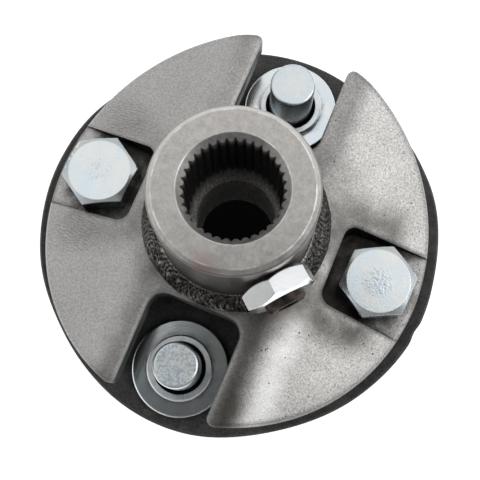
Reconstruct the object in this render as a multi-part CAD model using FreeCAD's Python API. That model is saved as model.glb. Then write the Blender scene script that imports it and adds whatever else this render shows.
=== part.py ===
import FreeCAD, Part
import math
import os

os.makedirs("parts", exist_ok=True)

# Steering rag joint: a splined hub welded to a formed plate that is bolted to a rubber disc.
# Two studs cross the disc. Their plain ends stand in the plate's notches as stops, and their
# threaded ends hang below for the flange of the steering column.
# Millimetres. The origin is on the hub's axis, level with the top face of the rubber disc.
# X runs through the two bolts, Y through the two studs, and Z points out of the bore's mouth.

# Circle that the two bolts and the two studs stand on
FASTENER_CIRCLE_R = 31.75

# Formed plate: a flat ridge along Y, a slope on each side of it, a flat foot under each bolt
PLATE_RIM_W = 9.53
RIDGE_END_REACH = 0.4
PLATE_T = 4.76
RIDGE_TOP_Z = 14.6
RIDGE_HALF_W = 14.5
RIDGE_BEND_R = 8.0
NOTCH_HALF_W = 9.8
NOTCH_LAND = 3.35
NOTCH_CORNER_R = 3.5
WING_TIP_R = 1.5
PLATE_EDGE_R = 0.7

# Rubber disc, a little square in plan, with a lobe at each of its four fasteners
DISC_LIP = 3.17
DISC_WAIST_DROP = 0.9
DISC_T = 9.5
DISC_HOLE_R = 12.7
DISC_EDGE = 0.4

# Pocket that is pressed into each slope to make the foot
POCKET_WALL_T = 3.2
POCKET_BACK_GAP = 1.8
POCKET_SIDE_GAP = 0.35
POCKET_FLARE = 1.3
POCKET_CORNER_R = 2.6

# Splined hub, cut for a shaft with 36 teeth on three quarters of an inch. The teeth end at a step
# that stops the shaft, and a plain drilled hole goes on from there to the hub's lower end.
HUB_R = 15.875
HUB_TOP_Z = 38.3
HUB_END_GAP = 0.3
HUB_CHAMFER = 1.15
HUB_FIT_GAP = 0.05
SPLINE_TEETH = 36
SPLINE_L = 22.2
SPLINE_ROOT_R = 9.6
SPLINE_TIP_R = 9.0
SPLINE_TIP_SHARE = 0.4
BORE_CHAMFER = 0.76
PILOT_STEP = 1.06

# Weld bead between the hub and the plate
WELD_LEG_OUT = 3.0
WELD_LEG_UP = 3.0
WELD_CROWN = 0.5

# Set screw and jam nut, five sixteenths of an inch, square to the hub's axis
SCREW_R = 3.97
SCREW_Z = 26.5
SCREW_AZIMUTH = -40.5
SCREW_PROUD = 1.5
SCREW_SHAFT_GAP = 0.15
SCREW_SOCKET_AF = 3.97
SCREW_SOCKET_DEPTH = 4.0
SCREW_END_CHAMFER = 0.6
JAM_NUT_AF = 12.7
JAM_NUT_T = 4.4
JAM_NUT_TURN = 14.0
JAM_NUT_SEAT_GAP = 0.05

# Hex bolts, nuts and washers, three eighths of an inch
BOLT_R = 4.7625
BOLT_AF = 14.29
BOLT_HEAD_T = 5.95
BOLT_TURN = 27.0
NUT_TURN = 12.0
BOLT_TIP = 1.6
BOLT_HOLE_GAP = 0.2
NUT_T = 8.33
THREAD_GAP = 0.05
WASHER_R = 10.3
WASHER_T = 2.1
WASHER_EDGE = 0.25
LOCK_WASHER_R = 8.6
LOCK_WASHER_T = 2.4
LOCK_WASHER_SPLIT = 1.0
LOCK_WASHER_SPLIT_TILT = 20.0
HEX_CHAMFER_ANGLE = 30.0
HEX_CHAMFER_INSET = 0.55

# Studs: the rear one is taller and thicker in its thread, so the joint fits one way round only
STOP_R = 4.7625
REAR_STOP_TOP_Z = 15.3
REAR_STOP_EDGE_R = 0.6
REAR_THREAD_R = 4.7625
FRONT_STOP_TOP_Z = 12.7
FRONT_STOP_EDGE_R = 0.8
FRONT_THREAD_R = 3.97
STUD_FLANGE_R = 9.5
STUD_FLANGE_T = 3.0
STUD_THREAD_L = 19.0
STUD_END_CHAMFER = 0.8

# Sleeve round each stud, with its lip closed over the washer
SLEEVE_R = 6.25
SLEEVE_LIP_R = 7.0
SLEEVE_LIP_T = 1.55
SLEEVE_LIP_EDGE = 0.3
SLEEVE_MOUTH_R = 5.6
SLEEVE_MOUTH_DEPTH = 1.3
SLEEVE_STUD_GAP = 0.1
SLEEVE_HOLE_GAP = 0.15

# How near two measures are for an edge to count as in its place
NEAR = 1e-4
# Least upward part of the normal of a face that looks up
LOOKS_UP = 0.5

X = FreeCAD.Vector(1, 0, 0)
Y = FreeCAD.Vector(0, 1, 0)
Z = FreeCAD.Vector(0, 0, 1)
ORIGIN = FreeCAD.Vector(0, 0, 0)

plate_r = FASTENER_CIRCLE_R + PLATE_RIM_W
ridge_end_r = plate_r + RIDGE_END_REACH
disc_lobe_r = plate_r + DISC_LIP
disc_bottom_z = -DISC_T
bolt_corner_r = BOLT_AF / math.sqrt(3)
notch_end_y = HUB_R + NOTCH_LAND
pocket_back_x = FASTENER_CIRCLE_R - bolt_corner_r - POCKET_BACK_GAP
pocket_half_w = bolt_corner_r + POCKET_SIDE_GAP
washer_hole_r = BOLT_R + BOLT_HOLE_GAP
slope = math.atan((RIDGE_TOP_Z - PLATE_T) / (plate_r - RIDGE_HALF_W))
nut_top_z = disc_bottom_z - WASHER_T - LOCK_WASHER_T
bolt_end_z = nut_top_z - NUT_T - BOLT_TIP
spline_end_z = HUB_TOP_Z - SPLINE_L
pilot_r = SPLINE_TIP_R - PILOT_STEP
screw_tip_r = SPLINE_ROOT_R + SCREW_SHAFT_GAP
jam_nut_seat_r = HUB_R + JAM_NUT_SEAT_GAP
screw_end_r = jam_nut_seat_r + JAM_NUT_T + SCREW_PROUD


def vec(x, y, z=0.0):
    return FreeCAD.Vector(x, y, z)


def polar(r, degrees, z=0.0):
    a = math.radians(degrees)
    return vec(r * math.cos(a), r * math.sin(a), z)


def cylinder(r, z0, z1, x=0.0, y=0.0):
    return Part.makeCylinder(r, z1 - z0, vec(x, y, z0), Z)


def turned(section):
    """Solid turned about Z from (radius, height) points."""
    points = [vec(r, 0, z) for r, z in section]
    face = Part.Face(Part.makePolygon(points + points[:1]))
    return face.revolve(ORIGIN, Z, 360)


def plan_prism(points, z0, z1):
    """Upright prism on a closed outline of (x, y) points."""
    outline = [vec(x, y, z0) for x, y in points]
    face = Part.Face(Part.makePolygon(outline + outline[:1]))
    return face.extrude(vec(0, 0, z1 - z0))


def ridge_prism(section, half_length):
    """Prism along Y on a closed section of (x, z) points."""
    outline = [vec(x, -half_length, z) for x, z in section]
    face = Part.Face(Part.makePolygon(outline + outline[:1]))
    return face.extrude(vec(0, 2 * half_length, 0))


def upright_edges(shape, test):
    """Edges that run along Z and whose place passes the test."""
    found = []
    for edge in shape.Edges:
        a = edge.Vertexes[0].Point
        b = edge.Vertexes[-1].Point
        if math.hypot(a.x - b.x, a.y - b.y) < NEAR and abs(a.z - b.z) > NEAR and test(a.x, a.y):
            found.append(edge)
    return found


def hexagon_prism(across_flats, z0, z1, turn=0.0):
    corner_r = across_flats / math.sqrt(3)
    corners = [polar(corner_r, turn + 60 * k) for k in range(6)]
    return plan_prism([(p.x, p.y) for p in corners], z0, z1)


def hex_body(across_flats, z0, z1, turn, chamfer_bottom):
    """Hexagon whose corners are turned down to a cone at the top, and at the bottom if asked."""
    corner_r = across_flats / math.sqrt(3)
    face_r = across_flats / 2 - HEX_CHAMFER_INSET
    drop = (corner_r - face_r) * math.tan(math.radians(HEX_CHAMFER_ANGLE))
    foot = [(0, z0), (face_r, z0), (corner_r, z0 + drop)]
    if not chamfer_bottom:
        foot = [(0, z0), (corner_r, z0)]
    blank = turned(foot + [(corner_r, z1 - drop), (face_r, z1), (0, z1)])
    return blank.common(hexagon_prism(across_flats, z0, z1, turn))


def flat_ring(r_in, r_out, z0, z1, edge):
    return turned([(r_in, z0), (r_out - edge, z0), (r_out, z0 + edge), (r_out, z1 - edge),
                   (r_out - edge, z1), (r_in, z1)])


def disc_outline():
    """Four lobe arcs and four flatter waist arcs, each turning through 45 degrees and tangent.

    The lobes' centres lie out from the axis by as much as the waists' centres lie behind it.
    """
    turn = 45.0
    offset = DISC_WAIST_DROP / (2 - 2 * math.cos(math.radians(turn / 2)))
    lobe_arc_r = disc_lobe_r - offset
    waist_arc_r = disc_lobe_r - DISC_WAIST_DROP + offset
    edges = []
    for k in range(8):
        middle = turn * k
        centre = polar(offset, middle, disc_bottom_z)
        radius = lobe_arc_r
        if k % 2:
            centre = polar(-offset, middle, disc_bottom_z)
            radius = waist_arc_r
        points = [centre + polar(radius, middle + step * turn / 2) for step in (-1, 0, 1)]
        edges.append(Part.Arc(*points).toShape())
    return Part.Wire(edges)


def make_rubber_disc():
    disc = Part.Face(disc_outline()).extrude(vec(0, 0, DISC_T))
    disc = disc.makeChamfer(DISC_EDGE, [e for e in disc.Edges if abs(e.BoundBox.ZLength) < NEAR])
    disc = disc.cut(cylinder(DISC_HOLE_R, disc_bottom_z, 0))
    for side in (1, -1):
        at = side * FASTENER_CIRCLE_R
        disc = disc.cut(cylinder(BOLT_R + BOLT_HOLE_GAP, disc_bottom_z, 0, x=at))
        disc = disc.cut(cylinder(SLEEVE_R + SLEEVE_HOLE_GAP, disc_bottom_z, 0, y=at))
    return disc


def roof_line(drop):
    """Half of the bent plate's section: ridge middle, bend and a point past the rim.

    The line lies at the given depth under the plate's top face.
    """
    reach = plate_r + PLATE_T
    bend_x = RIDGE_HALF_W - drop * math.tan(slope / 2)
    end_z = RIDGE_TOP_Z - (reach - RIDGE_HALF_W) * math.tan(slope) - drop / math.cos(slope)
    return (bend_x, RIDGE_TOP_Z - drop), (reach, end_z)


def bent_edges(shape, x, z):
    """The two edges along Y where the ridge turns into its slopes."""
    found = []
    for edge in shape.Edges:
        middle = edge.BoundBox.Center
        in_place = abs(abs(middle.x) - x) < NEAR and abs(middle.z - z) < NEAR
        if in_place and edge.BoundBox.YLength > plate_r:
            found.append(edge)
    return found


def make_roof(thick):
    """The plate before its pockets, or with no thickness given the whole room under it."""
    (top_x, top_z), (end_x, end_z) = roof_line(0)
    section = [(-end_x, end_z), (-top_x, top_z), (top_x, top_z), (end_x, end_z)]
    if thick:
        (low_x, low_z), (low_end_x, low_end_z) = roof_line(PLATE_T)
        section += [(low_end_x, low_end_z), (low_x, low_z),
                    (-low_x, low_z), (-low_end_x, low_end_z)]
    else:
        section += [(end_x, -PLATE_T), (-end_x, -PLATE_T)]
    roof = ridge_prism(section, ridge_end_r)
    roof = roof.makeFillet(RIDGE_BEND_R + PLATE_T, bent_edges(roof, top_x, top_z))
    if thick:
        roof = roof.makeFillet(RIDGE_BEND_R, bent_edges(roof, low_x, low_z))
    return roof


def pocket_prism(grow, z0, z1):
    """Plan of the pocket on the +X side, wider towards the rim, let out by a wall's thickness."""
    back = pocket_back_x - grow
    rim = plate_r + PLATE_T
    half = pocket_half_w + grow
    rim_half = half + POCKET_FLARE
    prism = plan_prism([(back, -half), (rim, -rim_half), (rim, rim_half), (back, half)], z0, z1)
    corners = upright_edges(prism, lambda x, y: abs(x - back) < NEAR)
    return prism.makeFillet(POCKET_CORNER_R + grow, corners)


def plate_plan():
    """Plan of the plate with its two open notches, from the disc's face to above the ridge.

    A round blank draws in along X as it is bent, so the ridge's ends stand out a little.
    """
    top = RIDGE_TOP_Z + PLATE_T
    rim = Part.Ellipse(vec(0, ridge_end_r), vec(plate_r, 0), ORIGIN)
    plan = Part.Face(Part.Wire([rim.toShape()])).extrude(vec(0, 0, top))
    w = NOTCH_HALF_W
    for side in (1, -1):
        far = side * (ridge_end_r + PLATE_T)
        near = side * notch_end_y
        plan = plan.cut(plan_prism([(-w, near), (w, near), (w, far), (-w, far)], 0, top))
    inner = upright_edges(plan, lambda x, y: abs(abs(y) - notch_end_y) < NEAR)
    plan = plan.makeFillet(NOTCH_CORNER_R, inner)
    tips = upright_edges(plan, lambda x, y: abs(y) > FASTENER_CIRCLE_R and abs(abs(x) - w) < NEAR)
    return plan.makeFillet(WING_TIP_R, tips)


def outline_edges(shape):
    """Edges where an upright side meets a face that looks up."""
    found = []
    for edge in shape.Edges:
        middle = edge.valueAt((edge.FirstParameter + edge.LastParameter) / 2)
        faces = shape.ancestorsOfType(edge, Part.Face)
        rises = [face.normalAt(*face.Surface.parameter(middle)).z for face in faces]
        if len(rises) == 2 and min(abs(rise) for rise in rises) < NEAR and max(rises) > LOOKS_UP:
            found.append(edge)
    return found


def make_blank(thick):
    """The bent plate, or the room under it, cut to its plan and rounded along its upper edge."""
    blank = make_roof(thick).common(plate_plan()).removeSplitter()
    return blank.makeFillet(PLATE_EDGE_R, outline_edges(blank))


def make_coupling_flange():
    plate = make_blank(True)
    under_roof = make_blank(False)
    top = RIDGE_TOP_Z + PLATE_T
    for turn in (0, 180):
        cup = pocket_prism(POCKET_WALL_T, 0, top).rotated(ORIGIN, Z, turn)
        plate = plate.fuse(cup.common(under_roof))
    for turn in (0, 180):
        plate = plate.cut(pocket_prism(0, PLATE_T, top).rotated(ORIGIN, Z, turn))
    plate = plate.cut(cylinder(HUB_R + HUB_FIT_GAP, -PLATE_T, top))
    for side in (1, -1):
        plate = plate.cut(cylinder(BOLT_R + BOLT_HOLE_GAP, -PLATE_T, top, x=side * FASTENER_CIRCLE_R))
    return plate.removeSplitter()


def spline_prism(z0, z1):
    """Toothed bore: sharp roots outside, narrow tips inside."""
    pitch = 360 / SPLINE_TEETH
    tip_half = pitch * SPLINE_TIP_SHARE / 2
    edges = []
    for k in range(SPLINE_TEETH):
        tip = pitch * (k + 0.5)
        root = polar(SPLINE_ROOT_R, pitch * k, z0)
        next_root = polar(SPLINE_ROOT_R, pitch * (k + 1), z0)
        start = polar(SPLINE_TIP_R, tip - tip_half, z0)
        end = polar(SPLINE_TIP_R, tip + tip_half, z0)
        edges.append(Part.makeLine(root, start))
        edges.append(Part.Arc(start, polar(SPLINE_TIP_R, tip, z0), end).toShape())
        edges.append(Part.makeLine(end, next_root))
    return Part.Face(Part.Wire(edges)).extrude(vec(0, 0, z1 - z0))


def aimed(shape):
    """Lays a shape that stands along Z on the set screw's axis."""
    shape.rotate(ORIGIN, Y, 90)
    shape.rotate(ORIGIN, Z, SCREW_AZIMUTH)
    shape.translate(vec(0, 0, SCREW_Z))
    return shape


def make_splined_hub():
    hub = turned([(pilot_r, HUB_END_GAP), (HUB_R, HUB_END_GAP), (HUB_R, HUB_TOP_Z - HUB_CHAMFER),
                  (HUB_R - HUB_CHAMFER, HUB_TOP_Z), (pilot_r, HUB_TOP_Z)])
    hub = hub.cut(spline_prism(spline_end_z, HUB_TOP_Z))
    for end_z, hole_r, inward in ((HUB_TOP_Z, SPLINE_ROOT_R, -1), (HUB_END_GAP, pilot_r, 1)):
        mouth_r = hole_r + BORE_CHAMFER
        cone = turned([(0, end_z), (mouth_r, end_z), (0, end_z + inward * mouth_r)])
        hub = hub.cut(cone)
    tapped = aimed(cylinder(SCREW_R + THREAD_GAP, 0, HUB_R + JAM_NUT_T))
    return hub.cut(tapped)


def make_hub_weld(flange):
    """Fillet bead, slightly crowned, laid against the hub and down on the plate."""
    out_r = HUB_R + WELD_LEG_OUT
    up_z = RIDGE_TOP_Z + WELD_LEG_UP
    low_z = RIDGE_TOP_Z - WELD_LEG_OUT * math.tan(slope) - WELD_CROWN
    middle = vec(HUB_R + WELD_LEG_OUT / 2 + WELD_CROWN, 0, RIDGE_TOP_Z + WELD_LEG_UP / 2 + WELD_CROWN)
    toe = vec(out_r, 0, RIDGE_TOP_Z)
    crown = vec(HUB_R, 0, up_z)
    edges = [
        Part.makeLine(vec(HUB_R, 0, low_z), vec(out_r, 0, low_z)),
        Part.makeLine(vec(out_r, 0, low_z), toe),
        Part.Arc(toe, middle, crown).toShape(),
        Part.makeLine(crown, vec(HUB_R, 0, low_z)),
    ]
    bead = Part.Face(Part.Wire(edges)).revolve(ORIGIN, Z, 360)
    return bead.cut(flange)


def make_set_screw():
    length = screw_end_r - screw_tip_r
    c = SCREW_END_CHAMFER
    screw = turned([(0, 0), (SCREW_R - 2 * c, 0), (SCREW_R, 2 * c), (SCREW_R, length - c),
                    (SCREW_R - c, length), (0, length)])
    screw = screw.cut(hexagon_prism(SCREW_SOCKET_AF, length - SCREW_SOCKET_DEPTH, length))
    screw.translate(vec(0, 0, screw_tip_r))
    return aimed(screw)


def make_jam_nut():
    nut = hex_body(JAM_NUT_AF, 0, JAM_NUT_T, JAM_NUT_TURN, True)
    nut = nut.cut(cylinder(SCREW_R + THREAD_GAP, 0, JAM_NUT_T))
    nut.translate(vec(0, 0, jam_nut_seat_r))
    return aimed(nut)


def make_flange_bolt(side):
    at = side * FASTENER_CIRCLE_R
    head = hex_body(BOLT_AF, PLATE_T, PLATE_T + BOLT_HEAD_T, BOLT_TURN, False)
    shank = turned([(0, bolt_end_z), (BOLT_R - STUD_END_CHAMFER, bolt_end_z),
                    (BOLT_R, bolt_end_z + STUD_END_CHAMFER), (BOLT_R, PLATE_T), (0, PLATE_T)])
    bolt = head.fuse(shank).removeSplitter()
    bolt.translate(vec(at, 0, 0))
    return bolt


def make_backing_washer(side):
    washer = flat_ring(washer_hole_r, WASHER_R, disc_bottom_z - WASHER_T, disc_bottom_z, WASHER_EDGE)
    washer.translate(vec(side * FASTENER_CIRCLE_R, 0, 0))
    return washer


def make_lock_washer(side):
    bottom = nut_top_z
    ring = flat_ring(washer_hole_r, LOCK_WASHER_R, bottom, bottom + LOCK_WASHER_T, WASHER_EDGE)
    split = Part.makeBox(LOCK_WASHER_R, LOCK_WASHER_SPLIT, 3 * LOCK_WASHER_T,
                         vec(0, -LOCK_WASHER_SPLIT / 2, -1.5 * LOCK_WASHER_T))
    split.rotate(ORIGIN, X, LOCK_WASHER_SPLIT_TILT)
    split.translate(vec(0, 0, bottom + LOCK_WASHER_T / 2))
    ring = ring.cut(split)
    ring.translate(vec(side * FASTENER_CIRCLE_R, 0, 0))
    return ring


def make_flange_nut(side):
    nut = hex_body(BOLT_AF, nut_top_z - NUT_T, nut_top_z, BOLT_TURN + NUT_TURN * side, True)
    nut = nut.cut(cylinder(BOLT_R + THREAD_GAP, nut_top_z - NUT_T, nut_top_z))
    nut.translate(vec(side * FASTENER_CIRCLE_R, 0, 0))
    return nut


def make_stop_stud(side, top_z, edge_r, thread_r):
    flange_z = disc_bottom_z - STUD_FLANGE_T
    end_z = flange_z - STUD_THREAD_L
    c = STUD_END_CHAMFER
    e = WASHER_EDGE
    stud = turned([(0, end_z), (thread_r - c, end_z), (thread_r, end_z + c), (thread_r, flange_z),
                   (STUD_FLANGE_R - e, flange_z), (STUD_FLANGE_R, flange_z + e),
                   (STUD_FLANGE_R, disc_bottom_z - e), (STUD_FLANGE_R - e, disc_bottom_z),
                   (STOP_R, disc_bottom_z), (STOP_R, top_z), (0, top_z)])
    rim = [edge for edge in stud.Edges if abs(edge.BoundBox.ZMin - top_z) < NEAR and
           edge.BoundBox.XLength > STOP_R]
    stud = stud.makeFillet(edge_r, rim)
    stud.translate(vec(0, side * FASTENER_CIRCLE_R, 0))
    return stud


def make_stud_washer(side):
    washer = flat_ring(SLEEVE_R + SLEEVE_HOLE_GAP, WASHER_R, 0, WASHER_T, WASHER_EDGE)
    washer.translate(vec(0, side * FASTENER_CIRCLE_R, 0))
    return washer


def make_stud_sleeve(side):
    lip_z = WASHER_T
    top_z = lip_z + SLEEVE_LIP_T
    e = SLEEVE_LIP_EDGE
    bore_r = STOP_R + SLEEVE_STUD_GAP
    sleeve = turned([(bore_r, disc_bottom_z), (SLEEVE_R, disc_bottom_z), (SLEEVE_R, lip_z),
                     (SLEEVE_LIP_R, lip_z), (SLEEVE_LIP_R, top_z - e), (SLEEVE_LIP_R - e, top_z),
                     (SLEEVE_MOUTH_R, top_z), (bore_r, top_z - SLEEVE_MOUTH_DEPTH)])
    sleeve.translate(vec(0, side * FASTENER_CIRCLE_R, 0))
    return sleeve


def build():
    flange = make_coupling_flange()
    shapes = {
        "rubber_disc": make_rubber_disc(),
        "coupling_flange": flange,
        "splined_hub": make_splined_hub(),
        "hub_weld": make_hub_weld(flange),
        "set_screw": make_set_screw(),
        "jam_nut": make_jam_nut(),
    }
    for name, side in (("right", 1), ("left", -1)):
        shapes["flange_bolt_" + name] = make_flange_bolt(side)
        shapes["backing_washer_" + name] = make_backing_washer(side)
        shapes["lock_washer_" + name] = make_lock_washer(side)
        shapes["flange_nut_" + name] = make_flange_nut(side)
    shapes["stop_stud_rear"] = make_stop_stud(1, REAR_STOP_TOP_Z, REAR_STOP_EDGE_R, REAR_THREAD_R)
    shapes["stop_stud_front"] = make_stop_stud(-1, FRONT_STOP_TOP_Z, FRONT_STOP_EDGE_R, FRONT_THREAD_R)
    for name, side in (("rear", 1), ("front", -1)):
        shapes["stud_washer_" + name] = make_stud_washer(side)
        shapes["stud_sleeve_" + name] = make_stud_sleeve(side)
    return shapes


for node, shape in build().items():
    shape.exportStep("parts/" + node + ".step")
    print(node, len(shape.Solids), shape.isValid(), round(shape.Volume, 1))
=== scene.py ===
import math

import bmesh
import bpy
from mathutils import Matrix, Vector, noise


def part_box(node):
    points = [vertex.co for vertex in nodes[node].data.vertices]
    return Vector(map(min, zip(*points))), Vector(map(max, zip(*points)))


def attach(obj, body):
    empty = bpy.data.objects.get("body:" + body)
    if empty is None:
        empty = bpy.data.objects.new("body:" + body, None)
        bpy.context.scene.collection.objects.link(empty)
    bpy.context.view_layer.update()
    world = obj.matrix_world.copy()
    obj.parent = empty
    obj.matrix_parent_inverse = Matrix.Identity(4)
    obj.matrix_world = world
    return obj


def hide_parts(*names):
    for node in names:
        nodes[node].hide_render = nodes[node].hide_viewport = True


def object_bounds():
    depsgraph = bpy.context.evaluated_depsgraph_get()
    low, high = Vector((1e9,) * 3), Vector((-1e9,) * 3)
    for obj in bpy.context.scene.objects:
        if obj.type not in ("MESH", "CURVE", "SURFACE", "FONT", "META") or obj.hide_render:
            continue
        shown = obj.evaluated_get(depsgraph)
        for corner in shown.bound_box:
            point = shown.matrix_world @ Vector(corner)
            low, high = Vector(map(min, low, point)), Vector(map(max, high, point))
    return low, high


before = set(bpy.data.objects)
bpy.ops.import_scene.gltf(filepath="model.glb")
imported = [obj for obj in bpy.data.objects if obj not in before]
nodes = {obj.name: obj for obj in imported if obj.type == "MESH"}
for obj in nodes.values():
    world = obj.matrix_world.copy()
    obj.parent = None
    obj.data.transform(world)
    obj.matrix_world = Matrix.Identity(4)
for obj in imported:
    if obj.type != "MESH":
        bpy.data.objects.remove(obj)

cad_box = [list(corner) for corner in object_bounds()]


# The camera looks down on the joint from a hand's length, a little from the front of the left wing.
# Its place was fitted to the bolts, the pins and the hub's rim in a photograph of 480 by 480 pixels.
MM = 0.001
IMAGE_W = 480
FOCAL_PX = 802.66
SENSOR_MM = 36.0
CAMERA_DISTANCE = 178.93 * MM
CAMERA_ELEVATION = math.radians(77.149)
CAMERA_TURN = math.radians(26.998)
CAMERA_PAN = math.radians(-0.168)
CAMERA_TILT = math.radians(-0.33)
CAMERA_ROLL = math.radians(4.683)

camera_data = bpy.data.cameras.new("camera")
camera_data.sensor_width = SENSOR_MM
camera_data.lens = FOCAL_PX * SENSOR_MM / IMAGE_W
camera_data.clip_start = 5 * MM
camera = bpy.data.objects.new("camera", camera_data)
bpy.context.scene.collection.objects.link(camera)
stand = Vector((0, -math.cos(CAMERA_ELEVATION), math.sin(CAMERA_ELEVATION))) * CAMERA_DISTANCE
aim = Matrix.Rotation(math.pi / 2 - CAMERA_ELEVATION, 4, "X")
aim @= Matrix.Rotation(CAMERA_PAN, 4, "Y")
aim @= Matrix.Rotation(CAMERA_TILT, 4, "X")
aim @= Matrix.Rotation(-CAMERA_ROLL, 4, "Z")
camera.matrix_world = Matrix.Rotation(CAMERA_TURN, 4, "Z") @ Matrix.Translation(stand) @ aim
bpy.context.scene.camera = camera
bpy.context.scene.view_settings.view_transform = "Standard"


# Every finish below is written as node materials in metres on the object, from sRGB colours.
# The first such material is the studio itself: a white tent, brightest overhead, open to a dark room
# on the side that the camera looks in from.
def linear(hex_colour):
    """The linear colour of an sRGB hex value."""
    parts = [int(hex_colour[k:k + 2], 16) / 255 for k in (1, 3, 5)]
    return [p / 12.92 if p <= 0.04045 else ((p + 0.055) / 1.055) ** 2.4 for p in parts] + [1.0]


def add(tree, kind, inputs=None, **settings):
    """Adds a node with its settings. An input is a number, a colour or another node's output."""
    made = tree.nodes.new("ShaderNode" + kind)
    for name, value in settings.items():
        setattr(made, name, value)
    for name, value in (inputs or {}).items():
        if isinstance(value, bpy.types.NodeSocket):
            tree.links.new(value, made.inputs[name])
        else:
            made.inputs[name].default_value = value
    return made


def per_mm(size):
    """Scale of a pattern whose features are that many millimetres across."""
    return 1 / (size * MM)


TENT_TOP = 1.0
TENT_HORIZON = 0.45
DARK_SIDE = 0.3
OPENING_FROM = 0.1
OPENING_FULL = 0.8
WHITE = linear("#ffffff")

world = bpy.data.worlds.new("studio tent")
bpy.context.scene.world = world
world.use_nodes = True
tree = world.node_tree
tree.nodes.clear()
sky = add(tree, "TexCoord").outputs["Generated"]
height = add(tree, "SeparateXYZ", {0: sky}).outputs["Z"]
tent_light = add(tree, "MapRange", {"Value": height, "From Min": 0.0, "From Max": 1.0,
                                    "To Min": TENT_HORIZON, "To Max": TENT_TOP}).outputs["Result"]
front = Vector((camera.matrix_world.translation.x, camera.matrix_world.translation.y, 0)).normalized()
facing = add(tree, "VectorMath", {0: sky, 1: front}, operation="DOT_PRODUCT").outputs["Value"]
opening = add(tree, "MapRange", {"Value": facing, "From Min": OPENING_FROM, "From Max": OPENING_FULL,
                                 "To Min": 1.0, "To Max": DARK_SIDE},
              interpolation_type="SMOOTHSTEP").outputs["Result"]
tent_light = add(tree, "Math", {0: tent_light, 1: opening}, operation="MULTIPLY").outputs[0]
seen = add(tree, "LightPath").outputs["Is Camera Ray"]
strength = add(tree, "Mix", {"Factor": seen, 2: tent_light, 3: 1.0}).outputs[0]
tent = add(tree, "Background", {"Color": WHITE, "Strength": strength})
add(tree, "OutputWorld", {"Surface": tent.outputs[0]})

# One large soft lamp stands to the right of the picture, as high as the tent's shoulder. It lights the
# right sides of the hub and of the bolt heads.
LAMP_AZIMUTH = math.radians(15)
LAMP_ELEVATION = math.radians(46)
LAMP_DISTANCE = 0.5
LAMP_SIZE = 0.34
LAMP_WATTS = 0.42

lamp_data = bpy.data.lights.new("softbox", "AREA")
lamp_data.size = LAMP_SIZE
lamp_data.energy = LAMP_WATTS
lamp = bpy.data.objects.new("softbox", lamp_data)
bpy.context.scene.collection.objects.link(lamp)
aim = Matrix.Rotation(LAMP_AZIMUTH, 4, "Z") @ Matrix.Rotation(math.pi / 2 - LAMP_ELEVATION, 4, "Y")
lamp.matrix_world = aim @ Matrix.Translation((0, 0, LAMP_DISTANCE))

# A dark grey card with the lens in its middle. It shows only as the dark patch that a lens so near
# leaves in the flat faces under it.
def set_down(name, mesh):
    """Makes an object from a bmesh, which it frees, and puts it in the scene."""
    data = bpy.data.meshes.new(name)
    mesh.to_mesh(data)
    mesh.free()
    made = bpy.data.objects.new(name, data)
    bpy.context.scene.collection.objects.link(made)
    return made


def empty_material(name):
    """A material with no shader yet, and its tree."""
    made = bpy.data.materials.new(name)
    made.use_nodes = True
    made.node_tree.nodes.clear()
    return made, made.node_tree


CARD_R = 60 * MM
CARD_GREY = linear("#727272")

mesh = bmesh.new()
bmesh.ops.create_circle(mesh, cap_ends=True, radius=CARD_R, segments=48, matrix=camera.matrix_world)
card = set_down("lens_card", mesh)
card.visible_camera = False
card_paper, tree = empty_material("dark card")
paper = add(tree, "BsdfDiffuse", {"Color": CARD_GREY})
add(tree, "OutputMaterial", {"Surface": paper.outputs[0]})
card.data.materials.append(card_paper)

# Pale table top at the lower ends of the studs. It is white to the eye and keeps the joint's real shadow,
# and under the joint its colour and its glow are darkened by ambient occlusion, a painted shadow.
TABLE_HALF = 1.5
TABLE_GREY = linear("#e8e8e8")
TABLE_SHADE = linear("#1c1c1c")
TABLE_GLOW = 0.7
SHADOW_REACH = 60 * MM
SHADOW_DARK = 0.36
SHADOW_LIGHT = 0.62

mesh = bmesh.new()
bmesh.ops.create_grid(mesh, x_segments=1, y_segments=1, size=TABLE_HALF,
                      matrix=Matrix.Translation((0, 0, cad_box[0][2])))
table = set_down("table", mesh)
table_paint, tree = empty_material("white table paint")
rays = add(tree, "LightPath").outputs
seen = add(tree, "Math", {0: rays["Is Camera Ray"], 1: rays["Is Glossy Ray"]}, operation="MAXIMUM")
seen = add(tree, "Math", {0: seen.outputs[0], 1: rays["Is Transmission Ray"]}, operation="MAXIMUM")
# Painted shadow: how open the table is to the sky darkens its colour and its glow under the joint.
open_sky = add(tree, "AmbientOcclusion", {"Distance": SHADOW_REACH}, samples=32).outputs["AO"]
open_sky = add(tree, "MapRange", {"Value": open_sky, "From Min": SHADOW_DARK,
                                  "From Max": SHADOW_LIGHT}).outputs[0]
glow = add(tree, "Math", {0: seen.outputs[0], 1: open_sky}, operation="MULTIPLY").outputs[0]
glow = add(tree, "Math", {0: glow, 1: TABLE_GLOW}, operation="MULTIPLY").outputs[0]
shaded = add(tree, "Mix", {"Factor": open_sky, 6: TABLE_SHADE, 7: TABLE_GREY}, data_type="RGBA").outputs[2]
paint = add(tree, "BsdfDiffuse", {"Color": shaded})
light = add(tree, "Emission", {"Color": WHITE, "Strength": glow})
both = add(tree, "AddShader", {0: paint.outputs[0], 1: light.outputs[0]})
add(tree, "OutputMaterial", {"Surface": both.outputs[0]})
table.data.materials.append(table_paint)


def start_material(name):
    """A material with its tree, its shader and the place on the object in metres."""
    made = bpy.data.materials.new(name)
    made.use_nodes = True
    tree = made.node_tree
    return made, tree, tree.nodes["Principled BSDF"], add(tree, "TexCoord").outputs["Object"]


def finish_node(name, material):
    """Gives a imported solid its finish."""
    for slot in nodes[name].material_slots:
        slot.material = material


CLEAN_AIR = 0.85
CLOSED_AIR = 0.3
SHADE_PATCHES = 0.8


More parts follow.
